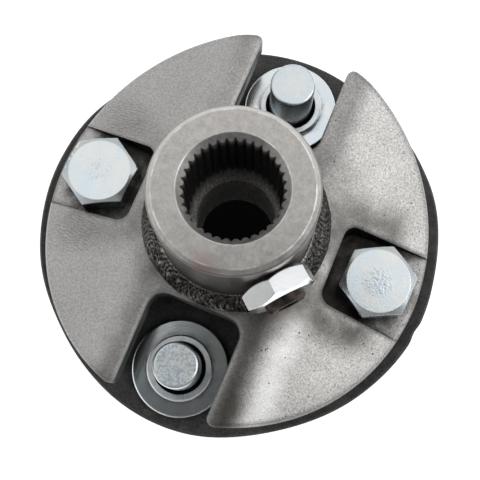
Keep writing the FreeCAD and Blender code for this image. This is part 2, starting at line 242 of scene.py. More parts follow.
def painted_corner_shade(tree, at, reach, patch_mm):
    """How much painted shade a place gets from ambient occlusion: 0 on open faces, 1 in corners, uneven
    between.
    """
    open_air = add(tree, "AmbientOcclusion", {"Distance": reach}, samples=6).outputs["AO"]
    patches = add(tree, "TexNoise", {"Vector": at, "Scale": per_mm(patch_mm), "Detail": 4.0}).outputs[0]
    patches = add(tree, "Math", {0: patches, 1: 0.5}, operation="SUBTRACT").outputs[0]
    patches = add(tree, "Math", {0: patches, 1: SHADE_PATCHES, 2: open_air},
                  operation="MULTIPLY_ADD").outputs[0]
    return add(tree, "MapRange", {"Value": patches, "From Min": CLEAN_AIR, "From Max": CLOSED_AIR,
                                  "To Min": 0.0, "To Max": 1.0},
               interpolation_type="SMOOTHSTEP").outputs["Result"]


RIDGE_HALF = 14.5 * MM
BEND_SHADE_HALF = 5.0 * MM
GRAIN_MM = 0.36
CLOUD_MM = 9.0
PIT_MM = 1.0
PIT_LARGEST = 0.23
PIT_FIELD_MM = 3.0
PITS_TO_RIGHT = 2.0
LEFT_BITE = 0.68
PLAIN_TONE = 0.6
WRINKLE_MM = 0.62
CREASE_OIL = 0.36
FASTENER_R = 31.75 * MM
POCKET_HALF = 9.0 * MM
WRINKLE_REACH = 7.5 * MM
WELD_TOE_R = 18.5 * MM
TARNISH_SHADE_REACH = 8.0 * MM
TARNISH_SHADE_MIDDLE = (4.0 * MM, 0, 0)
TARNISH_SHADE_MOST = 1.3

# Tumbled hot-rolled steel: fine light and dark grain of the stones, black pits of rolled-in scale,
# wrinkles where the pockets were drawn, heat tarnish round the weld, painted shade on the +X wing, round
# the pockets, on steep walls and in corners, and a painted highlight beyond the +X bend.
tumbled_steel, tree, shader, at = start_material("tumbled hot-rolled steel")
xyz = add(tree, "SeparateXYZ", {0: at}).outputs
grain = add(tree, "TexNoise", {"Vector": at, "Scale": per_mm(GRAIN_MM), "Detail": 3.0,
                               "Roughness": 0.7}).outputs[0]
cloud = add(tree, "TexNoise", {"Vector": at, "Scale": per_mm(CLOUD_MM), "Detail": 4.0,
                               "Roughness": 0.6}).outputs[0]
pits = add(tree, "TexVoronoi", {"Vector": at, "Scale": per_mm(PIT_MM),
                                "Randomness": 1.0}).outputs["Distance"]
few = add(tree, "TexNoise", {"Vector": at, "Scale": per_mm(PIT_FIELD_MM), "Detail": 2.0}).outputs[0]
few = add(tree, "Math", {0: xyz["X"], 1: PITS_TO_RIGHT, 2: few}, operation="MULTIPLY_ADD").outputs[0]
pit_size = add(tree, "MapRange", {"Value": few, "From Min": 0.48, "From Max": 0.8,
                                  "To Min": 0.0, "To Max": PIT_LARGEST}).outputs["Result"]
pit = add(tree, "Math", {0: pits, 1: pit_size}, operation="LESS_THAN").outputs[0]

# The stones bit harder on the +X wing, so its grain is coarser to the eye.
bite = add(tree, "MapRange", {"Value": xyz["X"], "From Min": -RIDGE_HALF, "From Max": RIDGE_HALF,
                              "To Min": LEFT_BITE, "To Max": 1.0}).outputs["Result"]
tone = add(tree, "MapRange", {"Value": grain, "From Min": 0.34, "From Max": 0.66}).outputs["Result"]
tone = add(tree, "Mix", {"Factor": bite, 2: PLAIN_TONE, 3: tone}).outputs[0]
base = add(tree, "Mix", {"Factor": tone, 6: linear("#999896"), 7: linear("#e2e1df")},
           data_type="RGBA").outputs[2]

# The front of the +X wing is painted darker, a painted shade, deepest along the bend.
FRONT_SHADE_FROM = -10 * MM
FRONT_SHADE_FULL = 55 * MM
FRONT_SHADE_LEAST = 0.13
FRONT_SHADE_MOST = 0.36
BEND_SHADE_FROM = 20 * MM
BEND_SHADE_FULL = 40 * MM
BEND_SHADE_LEAST = 0.75
BEND_SHADE_MOST = 1.9
front_right = add(tree, "Math", {0: xyz["X"], 1: xyz["Y"]}, operation="SUBTRACT").outputs[0]
front_shade = add(tree, "MapRange", {"Value": front_right, "From Min": FRONT_SHADE_FROM, "From Max": FRONT_SHADE_FULL,
                              "To Min": FRONT_SHADE_LEAST, "To Max": FRONT_SHADE_MOST}).outputs["Result"]
# Painted shade on the front of the +X wing.
base = add(tree, "Mix", {"Factor": front_shade, 6: base, 7: linear("#73706c")}, data_type="RGBA").outputs[2]

sides = add(tree, "Math", {0: xyz["X"]}, operation="ABSOLUTE").outputs[0]
ends = add(tree, "Math", {0: xyz["Y"]}, operation="ABSOLUTE").outputs[0]
bend_shade = add(tree, "Math", {0: sides, 1: RIDGE_HALF - BEND_SHADE_HALF / 3}, operation="SUBTRACT").outputs[0]
bend_shade = add(tree, "Math", {0: bend_shade}, operation="ABSOLUTE").outputs[0]
most = add(tree, "MapRange", {"Value": front_right, "From Min": BEND_SHADE_FROM, "From Max": BEND_SHADE_FULL,
                              "To Min": BEND_SHADE_LEAST, "To Max": BEND_SHADE_MOST}).outputs["Result"]
bend_shade = add(tree, "MapRange", {"Value": bend_shade, "From Min": 0.0, "From Max": BEND_SHADE_HALF, "To Min": most,
                              "To Max": 0.0}, interpolation_type="SMOOTHSTEP").outputs["Result"]
bend_shade = add(tree, "Math", {0: bend_shade, 1: cloud}, operation="MULTIPLY").outputs[0]

# Just beyond that bend the +X slope gets a painted highlight, strongest towards the front right.
BEND_HIGHLIGHT_X = 18.9 * MM
BEND_HIGHLIGHT_HALF = 4.5 * MM
BEND_HIGHLIGHT_FROM = 5 * MM
BEND_HIGHLIGHT_FULL = 42 * MM
BEND_HIGHLIGHT_MOST = 0.34
bend_highlight = add(tree, "Math", {0: xyz["X"], 1: BEND_HIGHLIGHT_X}, operation="SUBTRACT").outputs[0]
bend_highlight = add(tree, "Math", {0: bend_highlight}, operation="ABSOLUTE").outputs[0]
bend_highlight = add(tree, "MapRange", {"Value": bend_highlight, "From Min": 0.0, "From Max": BEND_HIGHLIGHT_HALF,
                                "To Min": 1.0, "To Max": 0.0}, interpolation_type="SMOOTHSTEP").outputs[0]
highlight_strength = add(tree, "MapRange", {"Value": front_right, "From Min": BEND_HIGHLIGHT_FROM, "From Max": BEND_HIGHLIGHT_FULL,
                                "To Min": 0.0, "To Max": BEND_HIGHLIGHT_MOST}).outputs["Result"]
bend_highlight = add(tree, "Math", {0: bend_highlight, 1: highlight_strength}, operation="MULTIPLY").outputs[0]
# Painted highlight just beyond the +X bend.
base = add(tree, "Mix", {"Factor": bend_highlight, 6: base, 7: WHITE}, data_type="RGBA").outputs[2]
# Painted shade along the bend.
base = add(tree, "Mix", {"Factor": bend_shade, 6: base, 7: linear("#5b5854")}, data_type="RGBA").outputs[2]

# The weld's heat has tarnished the plate round the hub, and painted shade darkens it further on the +X
# side, where the plate curves.
flat = add(tree, "CombineXYZ", {"X": xyz["X"], "Y": xyz["Y"]}).outputs[0]
radius = add(tree, "VectorMath", {0: flat, 1: TARNISH_SHADE_MIDDLE}, operation="DISTANCE").outputs["Value"]
tarnish_and_shade = add(tree, "MapRange", {"Value": radius, "From Min": WELD_TOE_R,
                                 "From Max": WELD_TOE_R + TARNISH_SHADE_REACH,
                                 "To Min": TARNISH_SHADE_MOST, "To Max": 0.0}).outputs["Result"]
tarnish_and_shade = add(tree, "Math", {0: tarnish_and_shade, 1: cloud}, operation="MULTIPLY").outputs[0]
# Heat tarnish, and painted shade where the plate curves.
base = add(tree, "Mix", {"Factor": tarnish_and_shade, 6: base, 7: linear("#5a5652")}, data_type="RGBA").outputs[2]

# Fine wrinkles lie beside the -X pocket, where the drawn plate was crowded.
beside = add(tree, "CombineXYZ", {"X": xyz["X"], "Y": ends}).outputs[0]
beside = add(tree, "VectorMath", {0: beside, 1: (-FASTENER_R, POCKET_HALF + WRINKLE_REACH / 2, 0)},
             operation="DISTANCE").outputs["Value"]
beside = add(tree, "MapRange", {"Value": beside, "From Min": WRINKLE_REACH / 2,
                                "From Max": WRINKLE_REACH, "To Min": 1.0, "To Max": 0.0}).outputs["Result"]
wrinkle = add(tree, "TexWave", {"Vector": at, "Scale": math.tau / 20 * per_mm(WRINKLE_MM),
                                "Distortion": 11.0, "Detail": 3.0, "Detail Scale": 0.8},
              bands_direction="Y").outputs["Fac"]
wrinkle = add(tree, "Math", {0: wrinkle, 1: beside}, operation="MULTIPLY").outputs[0]
crease = add(tree, "Math", {0: wrinkle, 1: CREASE_OIL}, operation="MULTIPLY").outputs[0]
base = add(tree, "Mix", {"Factor": crease, 6: base, 7: linear("#6b6762")}, data_type="RGBA").outputs[2]

# Round each pocket the plate is painted darker, a painted shade where the metal curves into the pocket,
# but not out at the rim.
POCKET_SHADE_MIDDLE = 28.5 * MM
POCKET_SHADE_R = 12.0 * MM
POCKET_SHADE_HALF = 7.0 * MM
POCKET_SHADE_MOST = 1.3
POCKET_SHADE_FROM = -45 * MM
POCKET_SHADE_FULL = 35 * MM
POCKET_SHADE_REAR_LEFT = 0.2
POCKET_SHADE_FRONT_RIGHT = 1.25
pocket_shade = add(tree, "CombineXYZ", {"X": sides, "Y": ends}).outputs[0]
pocket_shade = add(tree, "VectorMath", {0: pocket_shade, 1: (POCKET_SHADE_MIDDLE, 0, 0)}, operation="DISTANCE").outputs["Value"]
pocket_shade = add(tree, "Math", {0: pocket_shade, 1: POCKET_SHADE_R}, operation="SUBTRACT").outputs[0]
pocket_shade = add(tree, "Math", {0: pocket_shade}, operation="ABSOLUTE").outputs[0]
pocket_shade = add(tree, "MapRange", {"Value": pocket_shade, "From Min": 0.0, "From Max": POCKET_SHADE_HALF,
                               "To Min": POCKET_SHADE_MOST, "To Max": 0.0},
            interpolation_type="SMOOTHSTEP").outputs["Result"]
side = add(tree, "MapRange", {"Value": front_right, "From Min": POCKET_SHADE_FROM, "From Max": POCKET_SHADE_FULL,
                              "To Min": POCKET_SHADE_REAR_LEFT,
                              "To Max": POCKET_SHADE_FRONT_RIGHT}).outputs["Result"]
pocket_shade = add(tree, "Math", {0: pocket_shade, 1: side}, operation="MULTIPLY").outputs[0]
pocket_shade = add(tree, "Math", {0: pocket_shade, 1: cloud}, operation="MULTIPLY").outputs[0]
beyond = add(tree, "MapRange", {"Value": sides, "From Min": FASTENER_R,
                                "From Max": FASTENER_R + POCKET_HALF / 2,
                                "To Min": 1.0, "To Max": 0.0}).outputs["Result"]
pocket_shade = add(tree, "Math", {0: pocket_shade, 1: beyond}, operation="MULTIPLY").outputs[0]
# Painted shade round the pockets.
base = add(tree, "Mix", {"Factor": pocket_shade, 6: base, 7: linear("#4b4844")}, data_type="RGBA").outputs[2]
base = add(tree, "Mix", {"Factor": pit, 6: base, 7: linear("#35312e")}, data_type="RGBA").outputs[2]

# The steep walls of the pockets and the corners round the fasteners are painted dark, a painted shade.
STEEP_FROM = 0.75
STEEP_FULL = 0.2
STEEP_SHADE_MOST = 0.85
FLANGE_SHADE_REACH = 7.0 * MM
SHADE_PATCH_MM = 3.0
up = add(tree, "SeparateXYZ", {0: add(tree, "NewGeometry").outputs["Normal"]}).outputs["Z"]
steep_shade = add(tree, "MapRange", {"Value": up, "From Min": STEEP_FROM, "From Max": STEEP_FULL,
                               "To Min": 0.0, "To Max": STEEP_SHADE_MOST}).outputs["Result"]
# Painted shade on the steep walls.
base = add(tree, "Mix", {"Factor": steep_shade, 6: base, 7: linear("#34322f")}, data_type="RGBA").outputs[2]
corner_shade = painted_corner_shade(tree, at, FLANGE_SHADE_REACH, SHADE_PATCH_MM)
# Painted shade in the corners.
base = add(tree, "Mix", {"Factor": corner_shade, 6: base, 7: linear("#2c2a28")}, data_type="RGBA").outputs[2]

# The die left wide soft swells in the plate, and the barrel rounded its edges.
STEEL_SMOOTH = 0.32
STEEL_DULL = 0.46
EDGE_R = 1.7 * MM
SWELL_MM = 15.0
WRINKLE_RELIEF = 0.8
SWELL_RELIEF = 24.0
RELIEF = 0.06 * MM
dull = add(tree, "MapRange", {"Value": cloud, "From Min": 0.3, "From Max": 0.7,
                              "To Min": STEEL_SMOOTH, "To Max": STEEL_DULL}).outputs["Result"]
rounded = add(tree, "Bevel", {"Radius": EDGE_R}, samples=6).outputs[0]
height = add(tree, "Math", {0: grain, 1: pit}, operation="SUBTRACT").outputs[0]
height = add(tree, "Math", {0: wrinkle, 1: WRINKLE_RELIEF, 2: height},
             operation="MULTIPLY_ADD").outputs[0]
swell = add(tree, "TexNoise", {"Vector": at, "Scale": per_mm(SWELL_MM), "Detail": 0.0}).outputs[0]
height = add(tree, "Math", {0: swell, 1: SWELL_RELIEF, 2: height}, operation="MULTIPLY_ADD").outputs[0]
skin = add(tree, "Bump", {"Height": height, "Distance": RELIEF, "Strength": 0.7,
                          "Normal": rounded}).outputs[0]
shader.inputs["Metallic"].default_value = 1.0
tree.links.new(base, shader.inputs["Base Color"])
tree.links.new(dull, shader.inputs["Roughness"])
tree.links.new(skin, shader.inputs["Normal"])
finish_node("coupling_flange", tumbled_steel)


# Splined hub: a piece of turned bar steel with a broached bore, welded into the flange. Its end face
# and rim are bright from the lathe, with painted highlights on their edges, and the bore is painted near
# black, a painted shade.
def away_from(tree, x, y):
    """Distance from the Z axis of a place whose X and Y are given."""
    flat = add(tree, "CombineXYZ", {"X": x, "Y": y}).outputs[0]
    return add(tree, "VectorMath", {0: flat}, operation="LENGTH").outputs["Value"]


def tool_rings(tree, radius, ring_mm, detail):
    """A height pattern of the fine rings that a turning tool or a die leaves."""
    rings = add(tree, "Math", {0: radius, 1: per_mm(ring_mm)}, operation="MULTIPLY").outputs[0]
    rings = add(tree, "CombineXYZ", {"X": rings}).outputs[0]
    return add(tree, "TexNoise", {"Vector": rings, "Scale": 1.0, "Detail": detail}).outputs[0]


TURNING_MM = 0.18
TURNING_RELIEF = 0.012 * MM
MOTTLE_MM = 1.3
HUB_R = 15.875 * MM
MOUTH_R = 10.36 * MM
RIM_R = 14.725 * MM
HUB_EDGE_R = 0.3 * MM
ON_SURFACE = 0.3 * MM
TURNED_SMOOTH = 0.3
TURNED_DULL = 0.44

# Turned bar steel: pale grey with faint rings and a fine mottle, so its end shows the tent softly.
turned_steel, tree, shader, at = start_material("turned bar steel")
xyz = add(tree, "SeparateXYZ", {0: at}).outputs
radius = away_from(tree, xyz["X"], xyz["Y"])
rings = tool_rings(tree, radius, TURNING_MM, 2.0)
mottle = add(tree, "TexNoise", {"Vector": at, "Scale": per_mm(MOTTLE_MM), "Detail": 6.0,
                                "Roughness": 0.8}).outputs[0]
tone = add(tree, "MapRange", {"Value": mottle, "From Min": 0.32, "From Max": 0.68}).outputs["Result"]
base = add(tree, "Mix", {"Factor": tone, 6: linear("#a7a4a0"), 7: linear("#cfccc8")},
           data_type="RGBA").outputs[2]

# The outside wall is painted dark, a painted shade, darkest at its foot.
WALL_SHADE_FROM = 13 * MM
WALL_SHADE_TO = 37 * MM
WALL_SHADE_FOOT = 0.95
WALL_SHADE_TOP = 0.5
outside = add(tree, "Math", {0: radius, 1: HUB_R - ON_SURFACE}, operation="GREATER_THAN").outputs[0]
wall_shade = add(tree, "MapRange", {"Value": xyz["Z"], "From Min": WALL_SHADE_FROM, "From Max": WALL_SHADE_TO,
                               "To Min": WALL_SHADE_FOOT, "To Max": WALL_SHADE_TOP}).outputs["Result"]
wall_shade = add(tree, "Math", {0: wall_shade, 1: outside}, operation="MULTIPLY").outputs[0]
base = add(tree, "Mix", {"Factor": wall_shade, 6: base, 7: linear("#4a4744")}, data_type="RGBA").outputs[2]

# There is a breath of rust on the front of the rim.
RUST_AT = (0.6 * MM, -15.4 * MM, 38 * MM)
RUST_FULL = 1.0 * MM
RUST_REACH = 3.6 * MM
RUST_MOST = 0.8
rust = add(tree, "VectorMath", {0: at, 1: RUST_AT}, operation="DISTANCE").outputs["Value"]
rust = add(tree, "MapRange", {"Value": rust, "From Min": RUST_FULL, "From Max": RUST_REACH,
                              "To Min": RUST_MOST, "To Max": 0.0}).outputs["Result"]
rust = add(tree, "Math", {0: rust, 1: tone}, operation="MULTIPLY").outputs[0]
base = add(tree, "Mix", {"Factor": rust, 6: base, 7: linear("#9a6a5c")}, data_type="RGBA").outputs[2]

# From just under the tooth ends the bore is painted near black and not metallic, a painted shade. Round
# its step it is painted pale, a painted light, with white specks as painted glints.
TOOTH_SHINE = 1.1 * MM
STEP_DEPTH = 22.2 * MM
PALE_BAND_ABOVE = 5 * MM
PALE_BAND_FULL = 1 * MM
SPECK_MM = 0.45
SPECK_RELIEF = 20.0
depth = add(tree, "Math", {0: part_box("splined_hub")[1].z, 1: xyz["Z"]},
            operation="SUBTRACT").outputs[0]
deep = add(tree, "MapRange", {"Value": depth, "From Min": TOOTH_SHINE,
                              "From Max": 3 * TOOTH_SHINE}).outputs["Result"]
inside = add(tree, "Math", {0: radius, 1: MOUTH_R}, operation="LESS_THAN").outputs[0]
bore_shade = add(tree, "Math", {0: deep, 1: inside}, operation="MULTIPLY").outputs[0]
# Painted shade in the bore.
base = add(tree, "Mix", {"Factor": bore_shade, 6: base, 7: linear("#242322")}, data_type="RGBA").outputs[2]
metal_share = add(tree, "Math", {0: 1.0, 1: bore_shade}, operation="SUBTRACT").outputs[0]
speck_noise = add(tree, "TexNoise", {"Vector": at, "Scale": per_mm(SPECK_MM), "Detail": 4.0,
                               "Roughness": 0.8}).outputs[0]
painted_glint = add(tree, "MapRange", {"Value": speck_noise, "From Min": 0.48, "From Max": 0.62}).outputs["Result"]
low = add(tree, "MapRange", {"Value": depth, "From Min": STEP_DEPTH - PALE_BAND_ABOVE,
                             "From Max": STEP_DEPTH - PALE_BAND_FULL}).outputs["Result"]
low = add(tree, "Math", {0: low, 1: inside}, operation="MULTIPLY").outputs[0]
painted_glint = add(tree, "Math", {0: painted_glint, 1: low}, operation="MULTIPLY").outputs[0]
# Painted light round the step.
base = add(tree, "Mix", {"Factor": low, 6: base, 7: linear("#b3b0ab")}, data_type="RGBA").outputs[2]
# Painted glints.
base = add(tree, "Mix", {"Factor": painted_glint, 6: base, 7: WHITE}, data_type="RGBA").outputs[2]

# The two edges of the end face carry painted highlights, in patches.
EDGE_HIGHLIGHT_MM = 4.0
EDGE_HIGHLIGHT_LEAST = 0.2
EDGE_HIGHLIGHT_MOST = 0.9
EDGE_HIGHLIGHT_FULL = 0.06 * MM
EDGE_HIGHLIGHT_REACH = 0.2 * MM
top_face = add(tree, "Math", {0: depth, 1: ON_SURFACE}, operation="LESS_THAN").outputs[0]
edge_highlight_patches = add(tree, "TexNoise", {"Vector": at, "Scale": per_mm(EDGE_HIGHLIGHT_MM), "Detail": 5.0,
                              "Roughness": 0.7}).outputs[0]
edge_highlight_patches = add(tree, "MapRange", {"Value": edge_highlight_patches, "From Min": 0.48, "From Max": 0.62,
                              "To Min": EDGE_HIGHLIGHT_LEAST, "To Max": EDGE_HIGHLIGHT_MOST}).outputs["Result"]
for edge_r in (RIM_R, MOUTH_R):
    edge_highlight = add(tree, "Math", {0: radius, 1: edge_r}, operation="SUBTRACT").outputs[0]
    edge_highlight = add(tree, "Math", {0: edge_highlight}, operation="ABSOLUTE").outputs[0]
    edge_highlight = add(tree, "MapRange", {"Value": edge_highlight, "From Min": EDGE_HIGHLIGHT_FULL, "From Max": EDGE_HIGHLIGHT_REACH,
                                  "To Min": 1.0, "To Max": 0.0}).outputs["Result"]
    edge_highlight = add(tree, "Math", {0: edge_highlight, 1: edge_highlight_patches}, operation="MULTIPLY").outputs[0]
    edge_highlight = add(tree, "Math", {0: edge_highlight, 1: top_face}, operation="MULTIPLY").outputs[0]
    base = add(tree, "Mix", {"Factor": edge_highlight, 6: base, 7: WHITE}, data_type="RGBA").outputs[2]

dull = add(tree, "MapRange", {"Value": mottle, "From Min": 0.3, "From Max": 0.7,
                              "To Min": TURNED_SMOOTH, "To Max": TURNED_DULL}).outputs["Result"]
rounded = add(tree, "Bevel", {"Radius": HUB_EDGE_R}, samples=4).outputs[0]
height = add(tree, "Math", {0: painted_glint, 1: SPECK_RELIEF, 2: rings}, operation="MULTIPLY_ADD").outputs[0]
skin = add(tree, "Bump", {"Height": height, "Distance": TURNING_RELIEF, "Strength": 0.6,
                          "Normal": rounded}).outputs[0]
tree.links.new(metal_share, shader.inputs["Metallic"])
tree.links.new(base, shader.inputs["Base Color"])
tree.links.new(dull, shader.inputs["Roughness"])
tree.links.new(skin, shader.inputs["Normal"])
finish_node("splined_hub", turned_steel)


# Hub weld: one run of arc weld round the foot of the hub, with the crescents of the moving pool.
# Its skin is dark scale with oil on it, with painted glints at the crests.
BEAD_OUT = 3.0 * MM
BEAD_WIDER = 0.9 * MM
BEAD_UP = 3.0 * MM
BEAD_CROWN = 0.45 * MM
BEAD_SINK = 0.3 * MM
RIPPLE_PITCH = 1.25 * MM
RIPPLE_HEIGHT = 0.3 * MM
RIPPLE_BOW = 1.1
LUMPS_PER_MM = 0.25
LUMP_WIDER = 0.2 * MM
LUMP_HIGHER = 0.12
LUMP_CROWN = 0.6
LUMP_RIPPLE = 1.5
BEAD_STEPS = 720
BEAD_ROWS = 12
LOOK_DOWN_FROM = 30 * MM
WELD_SPECK_MM = 0.5
SMEAR_MM = 3.0
SCALE_RELIEF = 0.1 * MM

flange = nodes["coupling_flange"]


def plate_top(x, y):
    """Height of the flange's upper face, looked for straight down."""
    r = math.hypot(x, y)
    reach = max(r, HUB_R + BEAD_SINK) / r
    return flange.ray_cast((x * reach, y * reach, LOOK_DOWN_FROM), (0, 0, -1))[1].z


mesh = bmesh.new()
row = [mesh.verts.new((HUB_R - BEAD_SINK, 0, 0))]
for k in range(BEAD_ROWS + 1):
    row.append(mesh.verts.new((HUB_R + BEAD_OUT * k / BEAD_ROWS, 0, BEAD_UP * (1 - k / BEAD_ROWS))))
row.append(mesh.verts.new((HUB_R + BEAD_OUT, 0, -BEAD_SINK)))
row.append(mesh.verts.new((HUB_R - BEAD_SINK, 0, -BEAD_SINK)))
edges = [mesh.edges.new((a, b)) for a, b in zip(row, row[1:] + row[:1])]
bmesh.ops.spin(mesh, geom=row + edges, cent=(0, 0, 0), axis=(0, 0, 1), angle=math.tau,
               steps=BEAD_STEPS, use_merge=True)
for v in mesh.verts:
    r = math.hypot(v.co.x, v.co.y)
    turn = math.atan2(v.co.y, v.co.x)
    across = min(max((r - HUB_R) / BEAD_OUT, 0), 1)
    lump = noise.noise(v.co * LUMPS_PER_MM / MM)
    wider = 1 + across * (BEAD_WIDER * math.cos(turn) ** 2 + LUMP_WIDER * lump) / r
    v.co.x *= wider
    v.co.y *= wider
    ground = plate_top(v.co.x, v.co.y)
    if v.co.z < 0:
        v.co.z += ground
        continue
    phase = turn * HUB_R / RIPPLE_PITCH + RIPPLE_BOW * math.sin(math.pi * across) + LUMP_RIPPLE * lump
    fade = math.sin(math.pi * min(max(across, 0.05), 0.95)) ** 0.5
    ripple = RIPPLE_HEIGHT * (1 + lump) * (phase % 1) ** 2 * fade
    crown = BEAD_CROWN * math.sin(math.pi * across) * (1 + LUMP_CROWN * lump)
    v.co.z = ground + v.co.z * (1 + LUMP_HIGHER * lump) + crown - ripple
bmesh.ops.recalc_face_normals(mesh, faces=mesh.faces)
weld_bead = set_down("weld_bead", mesh)
weld_bead.data.shade_smooth()

# Scaled weld metal: near black, painted lighter on the crests and in pin-sharp specks, as painted glints.
weld_scale, tree, shader, at = start_material("scaled weld metal")
spots = add(tree, "TexNoise", {"Vector": at, "Scale": per_mm(WELD_SPECK_MM), "Detail": 5.0,
                               "Roughness": 0.75}).outputs[0]
smear = add(tree, "TexNoise", {"Vector": at, "Scale": per_mm(SMEAR_MM), "Detail": 3.0}).outputs[0]
crest_glint = add(tree, "NewGeometry").outputs["Pointiness"]
crest_glint = add(tree, "MapRange", {"Value": crest_glint, "From Min": 0.5, "From Max": 0.62}).outputs["Result"]
tone = add(tree, "MapRange", {"Value": spots, "From Min": 0.5, "From Max": 0.64}).outputs["Result"]
tone = add(tree, "Math", {0: tone, 1: smear}, operation="MULTIPLY").outputs[0]
tone = add(tree, "Math", {0: tone, 1: crest_glint}, operation="ADD", use_clamp=True).outputs[0]
# Painted glints on the crests and in specks.
base = add(tree, "Mix", {"Factor": tone, 6: linear("#1d1b1a"), 7: linear("#aeaba6")},
           data_type="RGBA").outputs[2]
skin = add(tree, "Bump", {"Height": spots, "Distance": SCALE_RELIEF, "Strength": 0.6}).outputs[0]
shader.inputs["Metallic"].default_value = 1.0
shader.inputs["Roughness"].default_value = 0.22
tree.links.new(base, shader.inputs["Base Color"])
tree.links.new(skin, shader.inputs["Normal"])
weld_bead.data.materials.append(weld_scale)
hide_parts("hub_weld")
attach(weld_bead, "root")


# Rubber disc: black rubber moulded on four plies of fabric, cut round with a blunt edge. The plies
# show as grooves round its edge, and where it was clamped and heated it has crept out of round.
EDGE_STEPS = 360
PLIES = 4
PLY_GROOVE = 0.25 * MM
PLY_GROOVE_HALF = 0.22 * MM
BLUNT = 0.5 * MM
CENTRE_HOLE_R = 12.7 * MM
BOLT_HOLE_R = 4.9625 * MM
SLEEVE_HOLE_R = 6.4 * MM
LOOK_IN_FROM = 60 * MM
# Where it has crept: the azimuth and half the width in degrees, and how far out in millimetres
CREEP = ((36, 30, 1.5), (55, 16, 0.5), (161, 17, 0.3),
         (211, 21, 0.45), (-58, 27, -0.45), (-7, 3.5, -0.35))
RUBBER_GRAIN_MM = 0.55
LEATHER_MM = 1.2
DUST_MM = 6.0
DUST_MOST = 0.6
DISC_SHADE_REACH = 9.0 * MM
LEATHER_SHARE = 0.5
LEATHER_RELIEF = 0.15 * MM

disc_node = nodes["rubber_disc"]
disc_low, disc_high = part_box("rubber_disc")
thick = disc_high.z - disc_low.z


def disc_edge(turn):
    """How far the disc's edge stands from the axis, with what it has crept."""
    away = Vector((math.cos(turn), math.sin(turn), 0))
    start = away * LOOK_IN_FROM + Vector((0, 0, (disc_low.z + disc_high.z) / 2))
    where = disc_node.ray_cast(start, -away)[1]
    reach = math.hypot(where.x, where.y)
    for middle, half, size in CREEP:
        off = (math.degrees(turn) - middle + 180) % 360 - 180
        if abs(off) < half:
            reach += size * MM * math.cos(math.pi / 2 * off / half) ** 2
    widest = max(abs(away.x) / disc_high.x, abs(away.y) / disc_high.y)
    return min(reach, 1 / widest)


def ring_of_edges(mesh, radius, steps, x=0.0, y=0.0):
    """A ring of edges in the disc's upper face."""
    made = bmesh.ops.create_circle(mesh, radius=radius, segments=steps,
                                   matrix=Matrix.Translation((x, y, disc_high.z)))
    return list({edge for v in made["verts"] for edge in v.link_edges})


def next_row(mesh, edges, height, reach=0.0):
    """Draws a ring of edges down to a height, and the given way out from the axis."""
    made = bmesh.ops.extrude_edge_only(mesh, edges=edges)["geom"]
    for v in (g for g in made if isinstance(g, bmesh.types.BMVert)):
        r = math.hypot(v.co.x, v.co.y)
        v.co.x *= 1 + reach / r
        v.co.y *= 1 + reach / r
        v.co.z = height
    return [g for g in made if isinstance(g, bmesh.types.BMEdge) and g.is_boundary]


mesh = bmesh.new()
edge = ring_of_edges(mesh, 1.0, EDGE_STEPS)
for v in {v for e in edge for v in e.verts}:
    turn = math.atan2(v.co.y, v.co.x)
    reach = disc_edge(turn) - BLUNT
    v.co.x = reach * math.cos(turn)
    v.co.y = reach * math.sin(turn)
holes = [ring_of_edges(mesh, CENTRE_HOLE_R, 96)]
for side in (1, -1):
    holes.append(ring_of_edges(mesh, BOLT_HOLE_R, 48, x=side * FASTENER_R))
    holes.append(ring_of_edges(mesh, SLEEVE_HOLE_R, 48, y=side * FASTENER_R))
bmesh.ops.triangle_fill(mesh, use_beauty=True, edges=edge + [e for hole in holes for e in hole])
edge = next_row(mesh, edge, disc_high.z - BLUNT, BLUNT)
for ply in range(1, PLIES):
    middle = disc_high.z - thick * ply / PLIES
    edge = next_row(mesh, edge, middle + PLY_GROOVE_HALF)
    edge = next_row(mesh, edge, middle, -PLY_GROOVE)
    edge = next_row(mesh, edge, middle - PLY_GROOVE_HALF, PLY_GROOVE)
edge = next_row(mesh, edge, disc_low.z + BLUNT)
edge = next_row(mesh, edge, disc_low.z, -BLUNT)
low_holes = [next_row(mesh, hole, disc_low.z) for hole in holes]
bmesh.ops.triangle_fill(mesh, use_beauty=True, edges=edge + [e for hole in low_holes for e in hole])
bmesh.ops.recalc_face_normals(mesh, faces=mesh.faces)
fabric_disc = set_down("fabric_rubber_disc", mesh)

# Moulded fabric rubber: matt charcoal with a fine leathery grain, paler where dust lies on it, and
# near black in the corners under the flange and the washers, where painted shade darkens it.
moulded_rubber, tree, shader, at = start_material("moulded fabric rubber")
grain = add(tree, "TexNoise", {"Vector": at, "Scale": per_mm(RUBBER_GRAIN_MM), "Detail": 4.0,
                               "Roughness": 0.75}).outputs[0]
leather = add(tree, "TexVoronoi", {"Vector": at, "Scale": per_mm(LEATHER_MM)},
              feature="F1").outputs["Distance"]
cloud = add(tree, "TexNoise", {"Vector": at, "Scale": per_mm(DUST_MM), "Detail": 4.0}).outputs[0]
tone = add(tree, "MapRange", {"Value": grain, "From Min": 0.35, "From Max": 0.7}).outputs["Result"]
base = add(tree, "Mix", {"Factor": tone, 6: linear("#1f1f1f"), 7: linear("#504f4e")},
           data_type="RGBA").outputs[2]
dusty = add(tree, "MapRange", {"Value": cloud, "From Min": 0.48, "From Max": 0.75,
                               "To Min": 0.0, "To Max": DUST_MOST}).outputs["Result"]
base = add(tree, "Mix", {"Factor": dusty, 6: base, 7: linear("#5d5c5a")}, data_type="RGBA").outputs[2]
corner_shade = painted_corner_shade(tree, at, DISC_SHADE_REACH, SHADE_PATCH_MM)
